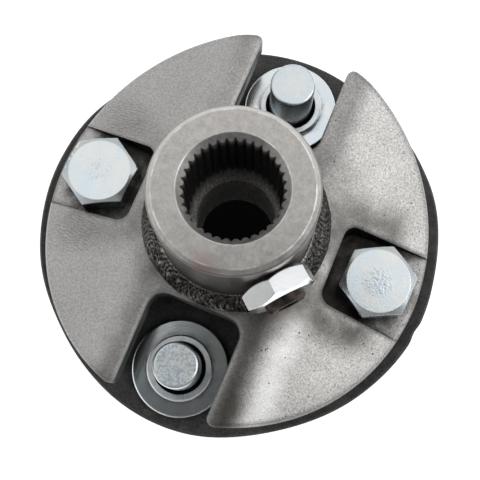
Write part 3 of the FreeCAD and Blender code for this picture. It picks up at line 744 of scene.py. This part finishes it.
# Painted shade in the corners.
base = add(tree, "Mix", {"Factor": corner_shade, 6: base, 7: linear("#131313")}, data_type="RGBA").outputs[2]
height = add(tree, "Math", {0: leather, 1: LEATHER_SHARE, 2: grain},
             operation="MULTIPLY_ADD").outputs[0]
skin = add(tree, "Bump", {"Height": height, "Distance": LEATHER_RELIEF, "Strength": 0.7}).outputs[0]
shader.inputs["Roughness"].default_value = 0.62
shader.inputs["Specular IOR Level"].default_value = 0.4
tree.links.new(base, shader.inputs["Base Color"])
tree.links.new(skin, shader.inputs["Normal"])
fabric_disc.data.materials.append(moulded_rubber)
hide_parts("rubber_disc")
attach(fabric_disc, "root")


# Hex bolts, nuts and the washers under them: cold-headed and stamped steel, barrel plated with bright
# zinc and passivated blue-white.
ZINC_CLOUD_MM = 5.0
ZINC_SHADE_REACH = 3.0 * MM
ZINC_PATCH_MM = 2.0
DULL_SPREAD = 0.2


def zinc_plate(name, dull):
    """Bright zinc over steel, clouded, with painted shade in its corners."""
    made, tree, shader, at = start_material(name)
    cloud = add(tree, "TexNoise", {"Vector": at, "Scale": per_mm(ZINC_CLOUD_MM), "Detail": 3.0}).outputs[0]
    tint = add(tree, "MapRange", {"Value": cloud, "From Min": 0.35, "From Max": 0.7}).outputs["Result"]
    base = add(tree, "Mix", {"Factor": tint, 6: linear("#d9e4eb"), 7: linear("#ebece8")},
               data_type="RGBA").outputs[2]
    corner_shade = painted_corner_shade(tree, at, ZINC_SHADE_REACH, ZINC_PATCH_MM)
    # Painted shade in the corners.
    base = add(tree, "Mix", {"Factor": corner_shade, 6: base, 7: linear("#747b82")}, data_type="RGBA").outputs[2]
    blur = add(tree, "MapRange", {"Value": cloud, "From Min": 0.3, "From Max": 0.7,
                                  "To Min": dull * (1 - DULL_SPREAD),
                                  "To Max": dull * (1 + DULL_SPREAD)}).outputs["Result"]
    tree.links.new(base, shader.inputs["Base Color"])
    tree.links.new(blur, shader.inputs["Roughness"])
    shader.inputs["Metallic"].default_value = 1.0
    return made, tree, shader, at


def from_fastener(tree, at, axis):
    """Distance from the middle of the nearer of the two fasteners that stand on that axis."""
    xyz = add(tree, "SeparateXYZ", {0: at}).outputs
    along = add(tree, "Math", {0: xyz[axis]}, operation="ABSOLUTE").outputs[0]
    along = add(tree, "Math", {0: along, 1: FASTENER_R}, operation="SUBTRACT").outputs[0]
    return away_from(tree, along, xyz["Y" if axis == "X" else "X"])


def stain(tree, shader, factor, colour):
    """Lays a colour over the one that the shader has so far."""
    base = shader.inputs["Base Color"].links[0].from_socket
    base = add(tree, "Mix", {"Factor": factor, 6: base, 7: linear(colour)}, data_type="RGBA").outputs[2]
    tree.links.new(base, shader.inputs["Base Color"])


def dented_skin(tree, shader, height, relief_mm, edge_mm):
    """Lays a height pattern on the plating, over edges that the barrel has rounded."""
    rounded = add(tree, "Bevel", {"Radius": edge_mm * MM}, samples=4).outputs[0]
    skin = add(tree, "Bump", {"Height": height, "Distance": relief_mm * MM, "Strength": 0.5,
                              "Normal": rounded}).outputs[0]
    tree.links.new(skin, shader.inputs["Normal"])


DENT_MM = 0.5
HEAD_MARK_R = 3.6 * MM
HEAD_MARK_DENTS = 8.0
HEAD_DENTS = 1.6
HEAD_FLECKS = 0.03
SCRATCH_MIDDLE = (33.0 * MM, -0.15 * MM, 0)
SCRATCH_TURN = math.radians(21)
SCRATCH_HALF = 1.9 * MM
SCRATCH_WIDE = 0.07 * MM
SCRATCH_RELIEF = -9.0

# Zinc on cold-headed steel: smooth and cool with faint dents, grainy in the middle of the heads where
# the die pressed them, and one head has a short scratch.
headed_zinc, tree, shader, at = zinc_plate("zinc on cold-headed steel", dull=0.25)
grain = add(tree, "TexNoise", {"Vector": at, "Scale": per_mm(DENT_MM), "Detail": 3.0}).outputs[0]
radius = from_fastener(tree, at, "X")
pressed = add(tree, "MapRange", {"Value": radius, "From Min": HEAD_MARK_R / 2, "From Max": HEAD_MARK_R,
                                 "To Min": HEAD_MARK_DENTS, "To Max": HEAD_DENTS}).outputs["Result"]
height = add(tree, "Math", {0: grain, 1: pressed}, operation="MULTIPLY").outputs[0]
flecks = add(tree, "MapRange", {"Value": grain, "From Min": 0.5, "From Max": 0.34, "To Min": 0.0,
                                "To Max": HEAD_FLECKS}).outputs["Result"]
flecks = add(tree, "Math", {0: flecks, 1: pressed}, operation="MULTIPLY").outputs[0]
stain(tree, shader, flecks, "#9aa0a4")
lined = add(tree, "Mapping", {"Vector": at, "Location": SCRATCH_MIDDLE,
                              "Rotation": (0, 0, -SCRATCH_TURN)}, vector_type="TEXTURE")
lined = add(tree, "SeparateXYZ", {0: lined.outputs[0]}).outputs
across = add(tree, "Math", {0: lined["Y"]}, operation="ABSOLUTE").outputs[0]
across = add(tree, "Math", {0: across, 1: SCRATCH_WIDE}, operation="LESS_THAN").outputs[0]
within = add(tree, "Math", {0: lined["X"]}, operation="ABSOLUTE").outputs[0]
within = add(tree, "Math", {0: within, 1: SCRATCH_HALF}, operation="LESS_THAN").outputs[0]
scratch = add(tree, "Math", {0: across, 1: within}, operation="MULTIPLY").outputs[0]
height = add(tree, "Math", {0: scratch, 1: SCRATCH_RELIEF, 2: height},
             operation="MULTIPLY_ADD").outputs[0]
dented_skin(tree, shader, height, relief_mm=0.02, edge_mm=0.25)
for side in ("right", "left"):
    for piece in ("flange_bolt_", "backing_washer_", "lock_washer_", "flange_nut_"):
        finish_node(piece + side, headed_zinc)


# Stop studs with their washers and sleeves: turned steel pins that stand through the disc. The
# pressed sleeve's lip holds the stamped washer down. All are plated like the bolts.
PIN_DENTS = 0.4
END_DENTS = 6.0
PIN_FLECKS = 0.07
FRONT_FLECKS = 1.2
REAR_FLECKS = 0.15

# Zinc on stamped washers: nearly a mirror, with fine rings, so they show the dark lens above them.
stamped_zinc, tree, shader, at = zinc_plate("zinc on stamped washers", dull=0.15)
rings = tool_rings(tree, from_fastener(tree, at, "Y"), ring_mm=0.3, detail=3.0)
dented_skin(tree, shader, rings, relief_mm=0.015, edge_mm=0.25)

# Zinc on pressed sleeves: duller from the press, so the flared lip stays grey between the bright pins.
pressed_zinc, tree, shader, at = zinc_plate("zinc on pressed sleeves", dull=0.3)
rings = tool_rings(tree, from_fastener(tree, at, "Y"), ring_mm=0.5, detail=3.0)
dented_skin(tree, shader, rings, relief_mm=0.02, edge_mm=0.2)

# Zinc on turned pins: bright walls, and sawn ends that are dull and grainy. The front pin was handled
# more, so it has more dark flecks.
turned_zinc, tree, shader, at = zinc_plate("zinc on turned pins", dull=0.32)
grain = add(tree, "TexNoise", {"Vector": at, "Scale": per_mm(DENT_MM), "Detail": 4.0,
                               "Roughness": 0.7}).outputs[0]
on_end = add(tree, "SeparateXYZ", {0: add(tree, "NewGeometry").outputs["Normal"]}).outputs["Z"]
on_end = add(tree, "MapRange", {"Value": on_end, "From Min": 0.9, "From Max": 0.98,
                                "To Min": PIN_DENTS, "To Max": END_DENTS}).outputs["Result"]
height = add(tree, "Math", {0: grain, 1: on_end}, operation="MULTIPLY").outputs[0]
flecks = add(tree, "MapRange", {"Value": grain, "From Min": 0.56, "From Max": 0.4, "To Min": 0.0,
                                "To Max": PIN_FLECKS}).outputs["Result"]
flecks = add(tree, "Math", {0: flecks, 1: on_end}, operation="MULTIPLY").outputs[0]
handled = add(tree, "SeparateXYZ", {0: at}).outputs["Y"]
handled = add(tree, "MapRange", {"Value": handled, "From Min": -FASTENER_R, "From Max": FASTENER_R,
                                 "To Min": FRONT_FLECKS, "To Max": REAR_FLECKS}).outputs["Result"]
flecks = add(tree, "Math", {0: flecks, 1: handled}, operation="MULTIPLY").outputs[0]
stain(tree, shader, flecks, "#6d757a")
dented_skin(tree, shader, height, relief_mm=0.04, edge_mm=0.2)
for side in ("rear", "front"):
    finish_node("stud_washer_" + side, stamped_zinc)
    finish_node("stud_sleeve_" + side, pressed_zinc)
    finish_node("stop_stud_" + side, turned_zinc)


# Threads: the steel of the studs' lower ends and of the bolts' tips is cut with twenty-four threads to
# the inch, then plated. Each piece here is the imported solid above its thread, with the thread below.
THREAD_PITCH = 25.4 / 24 * MM
THREAD_STEPS = 28
THREAD_DEPTH = 0.58 * MM
CREST_SHARE = 0.125
END_BLUNT = 0.9 * MM
JOIN_WITHIN = 0.001 * MM
BOLT_R = 4.7625 * MM
REAR_STUD_R = 4.7625 * MM
FRONT_STUD_R = 3.97 * MM
STUD_COLLAR_BOTTOM = -12.5 * MM
RUN_OUT = 0.2 * MM
NUT_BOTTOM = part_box("flange_nut_right")[0].z


def cut_away(mesh, height, keep_above):
    """Cuts a closed mesh off at a height and closes the cut."""
    cut = bmesh.ops.bisect_plane(mesh, geom=mesh.verts[:] + mesh.edges[:] + mesh.faces[:],
                                 plane_co=(0, 0, height), plane_no=(0, 0, -1 if keep_above else 1),
                                 clear_outer=True)
    rim = [g for g in cut["geom_cut"] if isinstance(g, bmesh.types.BMEdge)]
    bmesh.ops.holes_fill(mesh, edges=rim)


def cut_thread(radius, low, high):
    """A threaded rod about Z between two heights, blunt at its lower end."""
    mesh = bmesh.new()
    half_crest = CREST_SHARE * THREAD_PITCH / 2
    middle = THREAD_PITCH / 2
    section = [(radius - THREAD_DEPTH, 0), (radius - THREAD_DEPTH, half_crest),
               (radius, middle - half_crest), (radius, middle + half_crest),
               (radius - THREAD_DEPTH, THREAD_PITCH - half_crest), (radius - THREAD_DEPTH, THREAD_PITCH)]
    points = [mesh.verts.new((r, 0, low - 2 * THREAD_PITCH + z)) for r, z in section]
    edges = [mesh.edges.new(pair) for pair in zip(points, points[1:])]
    turns = math.ceil((high - low) / THREAD_PITCH) + 3
    bmesh.ops.spin(mesh, geom=points + edges, cent=(0, 0, 0), axis=(0, 0, 1), angle=math.tau * turns,
                   steps=THREAD_STEPS * turns, dvec=(0, 0, THREAD_PITCH / THREAD_STEPS))
    bmesh.ops.remove_doubles(mesh, verts=mesh.verts, dist=JOIN_WITHIN)
    for v in mesh.verts:
        r = math.hypot(v.co.x, v.co.y)
        most = max(radius - END_BLUNT + max(v.co.z - low, 0), radius / 2)
        if r > most:
            v.co.x *= most / r
            v.co.y *= most / r
    cut_away(mesh, low, True)
    cut_away(mesh, high, False)
    bmesh.ops.recalc_face_normals(mesh, faces=mesh.faces)
    return mesh


def threaded(name, node, radius, cut_at, place, material):
    """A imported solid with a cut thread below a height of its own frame, standing at a place."""
    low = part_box(node)[0].z
    mesh = cut_thread(radius, low, cut_at + THREAD_PITCH / 2)
    mesh.transform(place)
    body = bmesh.new()
    body.from_mesh(nodes[node].data)
    bmesh.ops.remove_doubles(body, verts=body.verts, dist=JOIN_WITHIN)
    cut_away(body, cut_at, True)
    bmesh.ops.recalc_face_normals(body, faces=body.faces)
    piece = set_down(name, body)
    mesh.from_mesh(piece.data)
    mesh.to_mesh(piece.data)
    mesh.free()
    piece.data.materials.append(material)
    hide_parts(node)
    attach(piece, "root")


for side, along, radius in (("rear", 1, REAR_STUD_R), ("front", -1, FRONT_STUD_R)):
    threaded("threaded_stud_" + side, "stop_stud_" + side, radius, STUD_COLLAR_BOTTOM - RUN_OUT,
             Matrix.Translation((0, along * FASTENER_R, 0)), turned_zinc)
for side, along in (("right", 1), ("left", -1)):
    threaded("threaded_bolt_" + side, "flange_bolt_" + side, BOLT_R, NUT_BOTTOM + THREAD_PITCH,
             Matrix.Translation((along * FASTENER_R, 0, 0)), headed_zinc)


# Jam nut: a thin hex nut of steel on the set screw, cut from hexagon bar, plated like the bolts and
# tightened against the hub's wall.
NUT_DENT_MM = 0.7
NUT_PALER = 0.6

# Zinc on a cut nut: newer and paler than the rest, with wide shallow dents that soften its facets.
nut_zinc, tree, shader, at = zinc_plate("zinc on a cut nut", dull=0.22)
grain = add(tree, "TexNoise", {"Vector": at, "Scale": per_mm(NUT_DENT_MM), "Detail": 3.0}).outputs[0]
stain(tree, shader, NUT_PALER, "#ffffff")
dented_skin(tree, shader, grain, relief_mm=0.03, edge_mm=0.25)
finish_node("jam_nut", nut_zinc)


# Set screw: hardened alloy steel with a hex socket in its end, screwed through the hub's wall. Almost
# none of its thread is in view, so it stays a plain rod here.
OXIDE_CLOUD_MM = 1.5
SCREW_EDGE_R = 0.15 * MM

# Black oxide: blackened in hot salts and oiled, which leaves it brown-black with a low sheen.
black_oxide, tree, shader, at = start_material("black oxide steel")
cloud = add(tree, "TexNoise", {"Vector": at, "Scale": per_mm(OXIDE_CLOUD_MM), "Detail": 3.0}).outputs[0]
base = add(tree, "Mix", {"Factor": cloud, 6: linear("#1f1b19"), 7: linear("#4f4742")},
           data_type="RGBA").outputs[2]
rounded = add(tree, "Bevel", {"Radius": SCREW_EDGE_R}, samples=4).outputs[0]
shader.inputs["Metallic"].default_value = 1.0
shader.inputs["Roughness"].default_value = 0.38
tree.links.new(base, shader.inputs["Base Color"])
tree.links.new(rounded, shader.inputs["Normal"])
finish_node("set_screw", black_oxide)
